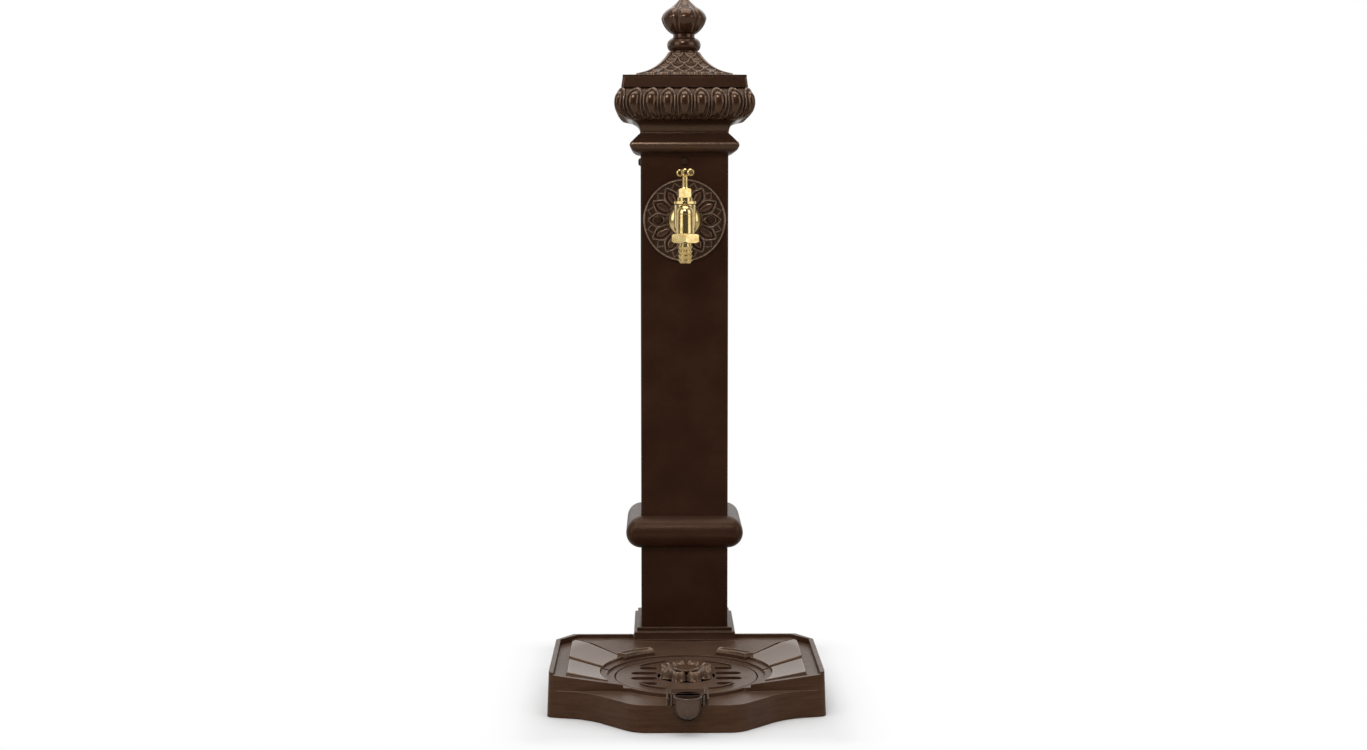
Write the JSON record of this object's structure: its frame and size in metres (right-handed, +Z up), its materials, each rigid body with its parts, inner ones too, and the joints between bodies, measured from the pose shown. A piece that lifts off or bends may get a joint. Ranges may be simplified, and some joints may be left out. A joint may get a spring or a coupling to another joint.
{
  "type": "garden fountain with bib tap",
  "caption": "Cast garden fountain: dished basin with lift-out grate, square column with collar and egg-moulded cap, and a brass screw-down tap with hose tail.",
  "frame": {"origin": "on the ground, at the middle of the object's plan", "axes": "+Z up, -Y towards the front where the tap and basin are, +X to the right seen from the front"},
  "size_m": [0.299, 0.3885, 0.7868],
  "materials": {
    "cast_paint": "satin dark brown paint over cast metal",
    "column_paint": "satin dark brown paint over steel tube",
    "polished_brass": "polished brass with machining marks",
    "zinc": "zinc-plated steel",
    "dark_screw": "darkened steel",
    "seal": "black rubber",
    "pipe": "galvanised pipe",
    "fitting_brass": "plain cast brass",
    "waste_plastic": "moulded black plastic"
  },
  "bodies": {
    "root": {"basin": "cast_paint", "overflow_cup": "cast_paint", "tray": "cast_paint", "sump": "cast_paint", "rear_foot": "cast_paint", "plinth": "cast_paint", "collar": "cast_paint", "cap": "cast_paint", "roof": "cast_paint", "finial": "cast_paint", "rosette": "cast_paint", "column": "column_paint", "waste_fitting": "waste_plastic", "waste_nut": "waste_plastic", "waste_washer": "seal", "foot_bolts": "zinc", "foot_washers": "zinc", "finial_stud": "zinc", "stud_washer": "zinc", "stud_nut": "zinc", "clip_screw": "zinc", "cap_screws": "dark_screw", "base_screws": "dark_screw", "collar_screws": "dark_screw", "rosette_screws": "dark_screw", "tap_flange": "polished_brass", "tap_body": "polished_brass", "bonnet": "polished_brass", "gland_nut": "polished_brass", "bonnet_washer": "seal", "gland_packing": "seal", "back_washer": "seal", "back_nut": "fitting_brass", "elbow": "fitting_brass", "inlet_coupling": "fitting_brass", "riser_pipe": "pipe", "pipe_clip": "pipe"},
    "grate": {"grate": "cast_paint", "grate_knob": "cast_paint", "knob_nut": "zinc"},
    "valve": {"jumper": "fitting_brass", "valve_washer": "seal"},
    "handle": {"spindle": "polished_brass", "handle_bar": "polished_brass"},
    "hose_end": {"hose_tail": "polished_brass", "union_washer": "seal"},
    "hose_nut": {"union_nut": "polished_brass"}
  },
  "joints": [
    {"name": "grate_lift", "type": "slide", "parent": "root", "child": "grate", "axis": [0, 0, 1], "range_m": [0, 0.06]},
    {"name": "valve_lift", "type": "slide", "parent": "root", "child": "valve", "axis": [0, 0, 1], "range_m": [0, 0.00376]},
    {"name": "handle_turn", "type": "hinge", "parent": "valve", "child": "handle", "pos_m": [0, 0.02445, 0.581], "axis": [0, 0, 1], "range_deg": [0, 540]},
    {"name": "hose_drop", "type": "slide", "parent": "root", "child": "hose_end", "axis": [0, 0, -1], "range_m": [0, 0.00455]},
    {"name": "hose_nut_turn", "type": "hinge", "parent": "hose_end", "child": "hose_nut", "pos_m": [0, 0.00245, 0.508], "axis": [0, 0, -1], "range_deg": [0, 900]}
  ],
  "couplings": [
    {"joint": "valve_lift", "follows": "handle_turn", "m_per_rad": 0.00039789},
    {"joint": "hose_drop", "follows": "hose_nut_turn", "m_per_rad": 0.00028871}
  ]
}
